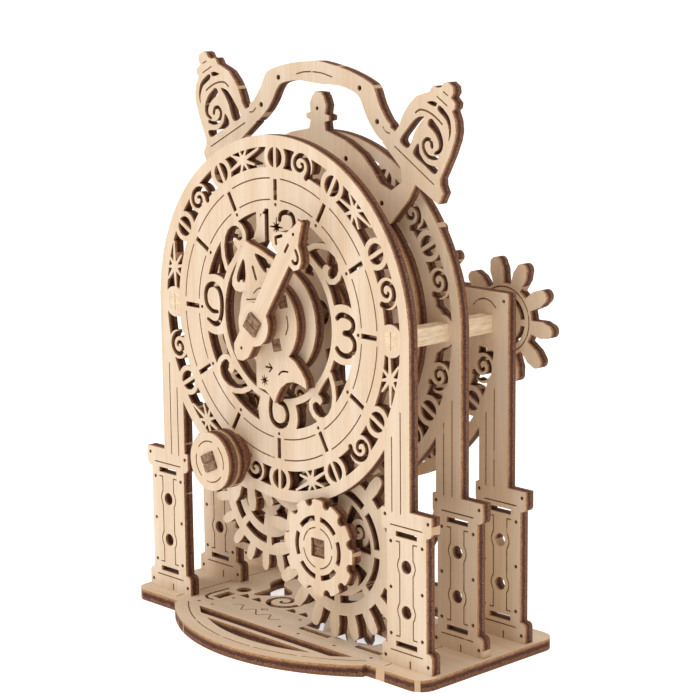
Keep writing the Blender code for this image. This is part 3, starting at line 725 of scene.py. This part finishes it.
# ---------------------------------------------------------------- back plate
# The third arch of 3 mm plywood: square shoulders at the beams, a rim that dips lower than the other
# two between them, fretwork only in its lower half and spokes round the bore of the minute arbor.
back = Sheet((-55, 0), (55, 121))
back.add(disc(ARCH), DIAL)
back.cut(block(60.0, 30.0, 0.0, 30.0 + TOP + 90.0))
for way in (False, True):
    back.add(block(4.9, 26.0, 43.5, TOP + 64.0, 0.6), flip=way)
back.add(disc(32.0), DIAL)
for x in (-PILLAR_X, PILLAR_X):
    pillar(back, x)
fretwork(back, [210, 240, 270, 300, 330], [196, 225, 255, 285, 315, 344], [], 189.0, 351.0)
spoked(back, 27.0, (8.0, 18.0, 27.6), (5.0, 7.0, 11.0))
for way in (False, True):
    back.score(stroke(flow([(36.6, 86.0), (38.2, 87.3), (40.4, 87.9), (42.6, 87.3), (44.2, 86.0)]), LINE),
        (0.0, TOP), flip=way)
    back.cut(disc(0.45, 46.9, 87.9), (0.0, TOP), flip=way)
    back.cut(disc(0.45, 33.4, 87.6), (0.0, TOP), flip=way)
leg_lines(back, 39.6, (43.8, 65.0), (41.0, 58.6))
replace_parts(cut_out(back, "back_arch_plate", "case", PLATE_FRONTS[2], seed=4.0), "back_plate")

# ---------------------------------------------------------------- yoke with handle and bells
# One sheet of 3 mm plywood standing between the dial and the middle plate: carrying handle, two bells
# with spirals cut through them, the hammer's saddle and a round body hidden behind the dial.
LEAN, PIVOT = -2.5, (0.0, TOP + 130.0)
YOKE_FRONT = 14.8


def hung(points):
    """Points of the right half, measured with the yoke leaning, as seen from its pivot before it leans."""
    p = np.asarray(points, float) - (0.0, 130.0)
    c, s = cos(radians(-LEAN)), sin(radians(-LEAN))
    return np.stack([c * p[:, 0] - s * p[:, 1], s * p[:, 0] + c * p[:, 1]], 1)


yoke = Sheet((-50, 44), (50, 151))
yoke.add(disc(36.0), DIAL)
handle = [(-1.0, 146.4), (6.0, 145.9), (12.5, 144.5), (18.0, 142.6), (20.6, 141.0), (22.4, 137.0),
    (25.0, 133.2), (26.5, 131.6), (24.0, 127.8), (20.0, 131.0), (17.6, 134.4), (16.0, 137.6), (14.0, 139.4),
    (8.0, 140.9), (-1.0, 141.4)]
saddle = [(-1.0, 138.9), (0.9, 138.8), (2.3, 138.0), (3.3, 135.6), (2.8, 133.4), (4.3, 133.0), (4.3, 131.8),
    (2.6, 131.4), (3.0, 129.2), (10.0, 127.2), (15.8, 124.2), (19.4, 120.9), (22.6, 117.2), (26.6, 115.8),
    (30.3, 118.2), (29.7, 123.0), (35.6, 119.0), (32.4, 113.8), (26.3, 107.5), (-1.0, 105.0)]
bell = [(28.0, 130.5), (29.5, 132.0), (30.0, 133.3), (31.3, 135.6), (33.0, 137.6), (35.4, 139.6),
    (37.6, 140.3), (39.9, 140.9), (40.6, 141.9), (41.2, 142.4), (42.6, 141.9), (43.9, 142.2), (44.7, 143.3),
    (46.0, 143.5), (47.6, 142.4), (47.8, 140.9), (47.0, 139.8), (48.4, 138.5), (48.2, 137.2),
    (47.35, 136.6), (48.4, 134.3), (48.65, 131.7), (48.2, 129.6), (46.7, 126.1), (44.3, 121.7),
    (43.3, 120.0), (43.4, 118.3), (44.3, 116.5), (42.8, 113.7), (33.65, 118.7), (29.7, 122.0),
    (23.6, 127.6), (26.0, 131.6)]
for way in (False, True):
    for outline in (flow(handle, True, 3), saddle, bell):
        yoke.add(patch(hung(outline)), PIVOT, LEAN, way)
    for hole in ([(29.7, 128.4), (32.4, 131.7), (34.5, 133.7), (36.1, 134.6), (38.2, 134.7), (36.6, 133.0),
            (34.9, 130.9), (32.6, 126.8)], [(34.2, 125.5), (36.05, 128.2), (36.7, 125.7), (38.9, 123.5),
            (42.6, 122.6), (41.4, 121.0), (38.0, 123.0)], [(39.0, 138.3), (40.8, 138.7), (42.4, 138.3),
            (41.7, 137.4)], [(43.2, 137.8), (45.4, 136.3), (46.7, 134.6), (47.1, 132.4), (46.9, 130.7),
            (46.2, 129.3), (46.4, 131.7), (45.4, 134.3), (42.7, 136.6)]):
        yoke.cut(patch(hung(flow(hole, True))), PIVOT, LEAN, way)
    swirl = flow([(40.4, 133.3), (42.5, 131.4), (43.7, 128.9), (43.3, 126.9), (41.8, 126.1)])
    yoke.cut(stroke(hung(swirl), np.linspace(2.3, 0.8, len(swirl))), PIVOT, LEAN, way)
    curl = flow([(40.7, 127.6), (40.3, 129.0), (38.9, 129.4), (37.8, 128.3), (38.0, 126.7), (39.3, 125.3),
        (41.0, 124.9), (42.4, 125.1)])
    yoke.cut(stroke(hung(curl), 1.0), PIVOT, LEAN, way)
    for line, width in ((flow([(35.2, 135.6), (36.7, 136.4), (38.9, 136.2), (41.0, 135.4), (42.8, 134.3),
            (44.1, 133.3)]), 0.5), ([(42.4, 139.9), (45.8, 137.8)], LINE), ([(44.6, 141.1), (46.0, 140.3)],
            LINE), ([(27.9, 126.9), (41.3, 118.5)], LINE), (flow([(23.9, 131.4), (24.9, 130.3),
            (26.2, 130.0)]), LINE)):
        yoke.score(stroke(hung(line), width), PIVOT, LEAN, way)
    for u, v in hung([(15.6, 140.6), (21.8, 132.6), (10.4, 122.6), (23.2, 112.4)]):
        yoke.cut(disc(0.7, u, v), PIVOT, LEAN, way)
for line in (flow([(-7.6, 143.1), (-5.0, 143.7), (-2.2, 143.9)]), flow([(-1.4, 143.9), (2.0, 143.7),
        (5.6, 142.9)])):
    yoke.score(stroke(line, LINE), (0.0, TOP))
yoke.cut(disc(0.55, 0.0, 134.7), (0.0, TOP))
for start in (-78.0, 102.0):
    yoke.cut(band(9.5, 27.5, start, start + 156.0), DIAL)
yoke.cut(ROUND_BORE, DIAL)
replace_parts(cut_out(yoke, "bell_yoke_plate", "case", YOKE_FRONT, seed=5.0), "yoke_plate")

# ---------------------------------------------------------------- cross-beams
# Two square birch bars at nine and three o'clock that hold the three arches apart. Each is two
# strips glued side by side, so a fine seam shows on its ends; the right one runs on behind the back
# plate as the rear wheel's axle.
def split_bar(name, body, centre, side, front, back, turned, woods, seed):
    """A square bar along Y made of two strips with a fine seam between them."""
    strips = Sheet((centre[0] - side, centre[1] - side), (centre[0] + side, centre[1] + side), 0.08)
    half = 0.5 * side
    for way in (-1.0, 1.0):
        strips.add(block(0.5 * half - 0.06, half, way * (0.5 * half + 0.02), 0.0, 0.18), centre, turned)
    strips.add(block(0.2, half - 0.35), centre, turned)
    strips.score(block(0.13, half), centre, turned)
    return cut_out(strips, name, body, front, back - front, woods=woods, seed=seed)


def lengthwise(name, light, dark, mottled):
    """Wood seen along a bar: fibres run along Y, with brown clouds of scorching where it was cut."""
    material, tree, shader, grain = new_wood(name)
    fibres = stretched_noise(tree, grain, (2.6, 2.6, 0.07), 1.0, 6.0, 0.6)
    clouds = stretched_noise(tree, grain, (0.7, 0.7, 0.35), 1.0, 4.0, 0.6)
    tone = ramp(tree, clouds, (0.5 - mottled, dark), (0.5 + mottled, light))
    streaked = blend(tree, tone, ramp(tree, fibres, (0.3, 0.74), (0.55, 1.0)))
    tree.links.new(streaked, shader.inputs["Base Color"])
    shader.inputs["Roughness"].default_value = 0.68
    relief(tree, shader, fibres, 0.3, 0.00008)
    return material


ARBOR_SIDE = 4.6


def toasted(name, node, body, centre, front, back, turned, seed, side=ARBOR_SIDE):
    """A scorched arbor or peg in place of its CAD node."""
    woods = (toasted_bar, toasted_bar, scored_line)
    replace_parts(split_bar(name, body, centre, side, front, back, turned, woods, seed), node)


raw_birch = lengthwise("raw_birch", (0.92, 0.76, 0.54), (0.76, 0.55, 0.35), 0.2)
toasted_bar = lengthwise("toasted_bar", (0.36, 0.21, 0.11), (0.13, 0.06, 0.035), 0.13)
for side, x, rear in (("left", -BEAM_X, 37.3), ("right", BEAM_X, 44.4)):
    beam = split_bar("cross_beam_" + side, "case", (x, DIAL[1]), 4.4, 0.0, rear, 0.0,
        (raw_birch, raw_birch, burnt_edge), 6.0 + x)
    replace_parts(beam, "beam_" + side)

# ---------------------------------------------------------------- lower wheels
# Plywood wheels below the dial, all on one square arbor: the small toothed disc in front of the
# plate, the large wheel with long oval teeth behind it and the pinion that drives the idle wheel.
def wheel(centre, reach, root, teeth, tooth, widths, first):
    """A wheel with oval teeth: a disc, and each tooth a stroke outward through the given radii."""
    flat = Sheet((centre[0] - reach, centre[1] - reach), (centre[0] + reach, centre[1] + reach))
    flat.add(disc(root), centre)
    for k in range(teeth):
        flat.add(stroke([(r, 0.0) for r in tooth], widths), centre, first + 360.0 * k / teeth)
    return flat


def slots(flat, centre, inner, outer, count, first, part):
    """Curved slots, evenly spaced; part is the share of each pitch that is open."""
    pitch = 360.0 / count
    for k in range(count):
        flat.cut(band(inner, outer, -0.5 * part * pitch, 0.5 * part * pitch), centre, first + pitch * k)


def facing(here, there):
    """Angle in degrees from one arbor to another."""
    return degrees(atan2(there[1] - here[1], there[0] - here[0]))


WHEEL_BORE, TIGHT_BORE = block(2.45, 2.45, 0, 0, 0.2), block(2.4, 2.4, 0, 0, 0.2)     # pressed on arbors
mesh_angle = facing(LOWER, KNOB)
big = wheel(LOWER, 25.4, 19.0, 20, (17.5, 21.6, 23.9), (2.6, 3.4, 2.9), mesh_angle + 7.0)
slots(big, LOWER, 13.7, 15.7, 8, 4.0 + 18.5, 0.82)
slots(big, LOWER, 6.4, 12.5, 4, 30.0, 0.74)
for k in range(4):
    spot = polar(LOWER, 9.3, 30 + 90 * k)
    big.add(stroke(coil(3.4, 0.5, -80, 400, 40), np.linspace(1.5, 1.1, 40)), spot, 30.0 + 90.0 * k)
big.cut(WHEEL_BORE, LOWER)
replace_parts(cut_out(big, "lower_big_wheel", "lower", 3.3, seed=8.0), "wheel_20")

small = Sheet((LOWER[0] - 13, LOWER[1] - 13), (LOWER[0] + 13, LOWER[1] + 13))
small.add(disc(12.6), LOWER)
for k in range(12):
    small.cut(disc(1.25, 12.1), LOWER, 75.0 + 30.0 * k)
    small.cut(block(0.6, 1.5, 12.9), LOWER, 75.0 + 30.0 * k)
slots(small, LOWER, 7.05, 8.45, 6, 0.0, 0.76)
for k in range(4):
    small.score(ring_line(5.3, 8, 80), LOWER, 90.0 * k)
small.cut(WHEEL_BORE, LOWER)
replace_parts(cut_out(small, "front_toothed_disc", "lower", -3.3, seed=9.0), "front_gear_12")

pinion = wheel(LOWER, 11.7, 7.0, 10, (5.5, 9.4, 10.7), (2.3, 2.6, 2.0), facing(LOWER, IDLER))
pinion.cut(WHEEL_BORE, LOWER)
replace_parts(cut_out(pinion, "lower_pinion", "lower", 6.6, seed=10.0), "pinion_10")
toasted("lower_arbor_bar", "lower_arbor", "lower", LOWER, -2.5, 22.6, 90.0, 11.0)

# ---------------------------------------------------------------- idle wheel
# A plywood wheel of the same kind on its own square arbor, left of the big one and mostly hidden; it
# turns in the middle plate's brace.
idle = wheel(IDLER, 21.9, 17.0, 20, (15.5, 19.4, 20.7), (2.3, 2.7, 2.2), facing(LOWER, IDLER) + 180.0 + 9.0)
slots(idle, IDLER, 12.1, 14.3, 8, 22.5, 0.82)
slots(idle, IDLER, 5.4, 9.6, 3, -20.0, 0.62)
idle.cut(WHEEL_BORE, IDLER)
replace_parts(cut_out(idle, "idle_big_wheel", "idle", 6.6, seed=12.0), "idle_wheel_20")
toasted("idle_arbor_bar", "idle_arbor", "idle", IDLER, 6.4, 22.6, 0.0, 13.0)

# ---------------------------------------------------------------- winding knob
# Two plywood discs and a washer glued on a square arbor left of six o'clock, with a twelve-tooth
# wheel on the same arbor behind the dial plate that meets the big wheel.
KNOB_TURN = 25.0
for name, body_front, radius, node in (("knob_face", -9.9, 7.75, "knob_front"), ("knob_second", -6.6, 7.8,
        "knob_rear"), ("knob_spacer", -3.3, 5.2, "knob_washer")):
    round_piece = Sheet((KNOB[0] - 8, KNOB[1] - 8), (KNOB[0] + 8, KNOB[1] + 8), 0.1)
    round_piece.add(disc(radius), KNOB)
    round_piece.cut(TIGHT_BORE, KNOB, KNOB_TURN)
    if name == "knob_face":
        for k in range(4):
            round_piece.score(ring_line(5.45, -33, 33), KNOB, 20.0 + 90.0 * k)
    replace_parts(cut_out(round_piece, name, "knob", body_front, seed=14.0 + body_front), node)
knob_wheel = wheel(KNOB, 15.7, 9.8, 12, (8.0, 12.8, 14.4), (2.6, 3.4, 2.6),
    mesh_angle + 180.0 + 2.0 * 20.0 / 12.0)
knob_wheel.cut(WHEEL_BORE, KNOB, KNOB_TURN)
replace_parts(cut_out(knob_wheel, "knob_toothed_wheel", "knob", 3.3, seed=15.0), "knob_wheel_12")
toasted("knob_arbor_bar", "knob_arbor", "knob", KNOB, -10.5, 6.3, KNOB_TURN + 90.0, 16.0)

# ---------------------------------------------------------------- hour hand with the moon
# A spade-shaped hour hand, its round middle and a crescent moon cut as one plywood piece, pegged by
# two square pegs to a round disc that lies in the dial's opening.
HOUR_TURN = 22.3
FINE = 0.1       # closer points for the small hands, mm
hour = Sheet((-16, 62), (16, 108), FINE)
hour.add(band(0.0, 11.0, -48.0, 140.0), DIAL)
hour.add(disc(9.8), DIAL)
spade = [(0.0, 21.8), (1.5, 20.3), (4.2, 18.3), (6.6, 16.0), (8.6, 14.2), (9.4, 12.6), (8.9, 11.0),
    (7.2, 10.0), (4.4, 9.6), (3.6, 6.0), (-0.4, 6.0), (-0.4, 21.5)]
half_leaf = flow([(2.4, 17.5), (4.6, 16.2), (6.5, 14.4), (7.1, 13.0), (6.5, 12.4), (5.3, 12.8), (4.8, 11.8),
    (3.8, 12.4), (2.7, 15.0)], True)
for way in (1.0, -1.0):
    hour.add(patch(np.array(spade) * (way, 1.0)), DIAL, HOUR_TURN)
for way in (1.0, -1.0):
    hour.cut(patch(half_leaf * (way, 1.0)), DIAL, HOUR_TURN)
hour.cut(stroke([(0.2, 11.4), (0.2, 14.6)], 0.8), DIAL, HOUR_TURN)
hour.score(stroke(flow([(-2.1, 8.3), (0.0, 8.9), (1.6, 8.5)]), LINE), DIAL, HOUR_TURN)
hour.score(stroke([(-5.4, 7.5), (-1.3, 6.5)], LINE), DIAL, HOUR_TURN)
hour.add(patch([(-4.6, -6.0), (-4.6, -17.6), (-1.4, -17.8), (0.4, -18.9), (2.1, -20.8), (3.1, -18.6),
    (4.6, -16.4), (6.8, -14.8), (9.3, -14.2), (11.8, -14.5), (14.3, -15.4), (13.9, -13.2), (12.4, -11.1),
    (9.9, -8.8), (7.1, -7.6), (4.0, -6.0)]), DIAL)
hour.cut(stroke([(-0.9, -11.7), (1.3, -11.7)], 0.5), DIAL)
hour.cut(stroke([(0.4, -10.7), (1.5, -11.7), (0.4, -12.8)], 0.45), DIAL)
for k in range(8):
    hour.cut(stroke([(0.0, 0.0), polar((0.0, 0.0), 1.4, 45 * k)], [0.6, 0.2]),
        (DIAL[0] - 1.5, DIAL[1] - 15.3))
hour.cut(stroke(flow([(4.0, -13.1), (5.2, -12.1), (7.4, -11.9)]), 0.5), DIAL)
hour.score(stroke(flow([(7.3, 2.3), (7.7, -0.1), (6.9, -2.3)]), 0.5), DIAL)
hour.score(stroke(flow([(-6.9, 3.4), (-7.7, 0.6), (-7.0, -2.6)]), 0.5), DIAL)
hour.cut(ROUND_BORE, DIAL)
PEG_HOLE = block(1.6, 1.6, 0, 0, 0.15)
PEGS = (("lower", (3.3, TOP + 76.2), 15.0), ("upper", (5.9, TOP + 87.6), 15.0))
for side, spot, lean in PEGS:
    hour.cut(PEG_HOLE, spot, lean)
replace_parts(cut_out(hour, "hour_hand_and_moon", "hour", -3.3, seed=17.0), "hour_hand")
backing = Sheet((-15, DIAL[1] - 15), (15, DIAL[1] + 15))
backing.add(disc(14.4), DIAL)
backing.cut(ROUND_BORE, DIAL)
for side, spot, lean in PEGS:
    backing.cut(PEG_HOLE, spot, lean)
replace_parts(cut_out(backing, "moon_backing_disc", "hour", 0.0, seed=18.0), "moon_backing")
for side, spot, lean in PEGS:
    toasted("moon_peg_" + side + "_bar", "moon_peg_" + side, "hour", spot, -3.4, 3.0, lean + 90.0, 19.0,
        3.1)

# ---------------------------------------------------------------- minute hand and its arbor
# A long plywood hand with a barbed point and a small tail, pressed on a square arbor of two strips
# that runs through all plates.
MINUTE_TURN = -33.0
minute = Sheet((-12, 70), (32, 119), FINE)
minute.add(disc(5.6), DIAL)
minute.add(patch([(-3.1, -4.4), (-3.1, -8.9), (-1.9, -10.7), (0.0, -11.7), (1.9, -10.5), (3.0, -8.6),
    (3.0, -4.4)]), DIAL, MINUTE_TURN)
minute.cut(disc(0.45, -0.3, -8.1), DIAL, MINUTE_TURN)
minute.add(block(2.5, 9.6, 0.0, 13.0), DIAL, MINUTE_TURN)
barb = [(2.2, 21.4), (4.6, 21.3), (5.8, 22.8), (5.7, 24.6), (4.5, 26.2), (2.5, 27.6), (1.6, 30.0),
    (0.7, 33.2), (-0.5, 33.2), (-1.4, 30.2), (-2.5, 27.8), (-4.8, 26.4), (-6.2, 24.6), (-6.2, 22.9),
    (-4.9, 21.6), (-2.4, 21.4)]
minute.add(patch(barb), DIAL, MINUTE_TURN)
minute.cut(stroke(flow([(2.5, 26.1), (4.0, 25.2), (4.5, 23.9), (3.9, 23.1), (3.1, 23.2)]), 0.9), DIAL,
    MINUTE_TURN)
minute.cut(stroke([(-3.5, 26.0), (-5.0, 24.3), (-4.0, 23.1)], 0.85), DIAL, MINUTE_TURN)
minute.cut(block(0.42, 1.42, -0.4, 24.5, 0.3), DIAL, MINUTE_TURN)
minute.cut(disc(0.45, -0.3, 29.0), DIAL, MINUTE_TURN)
minute.cut(TIGHT_BORE, DIAL, MINUTE_TURN)
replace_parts(cut_out(minute, "minute_hand_sheet", "minute", -8.2, fibre=MINUTE_TURN, seed=20.0),
    "minute_hand")
toasted("minute_arbor_bar", "minute_arbor", "minute", DIAL, -9.0, 44.4, MINUTE_TURN + 90.0, 21.0)

# ---------------------------------------------------------------- rear wheels
# Behind the back plate: the minute arbor's wheel of nineteen long oval teeth and the ten-tooth wheel
# on the end of the right cross-beam that it drives.
REAR = (BEAM_X, DIAL[1])
rear = wheel(REAR, 16.0, 9.3, 10, (7.5, 12.6, 14.3), (3.0, 4.3, 3.5), 174.0)
slots(rear, REAR, 5.7, 7.1, 5, 6.0 + 28.8, 0.8)
rear.cut(disc(3.45), REAR)
rear.score(band(8.3, 8.3 + LINE), REAR)
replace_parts(cut_out(rear, "rear_small_wheel", "rear", 40.6, seed=22.0), "rear_wheel_10")
minute_wheel = wheel(DIAL, 28.6, 22.2, 19, (20.5, 25.0, 26.9), (3.0, 3.9, 3.2),
    6.0 * 10.0 / 19.0 + 180.0 / 19.0)
slots(minute_wheel, DIAL, 14.1, 17.5, 6, 4.0 + 25.2, 0.84)
minute_wheel.cut(WHEEL_BORE, DIAL, MINUTE_TURN)
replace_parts(cut_out(minute_wheel, "rear_big_wheel", "minute", 40.6, seed=23.0), "minute_wheel_19")
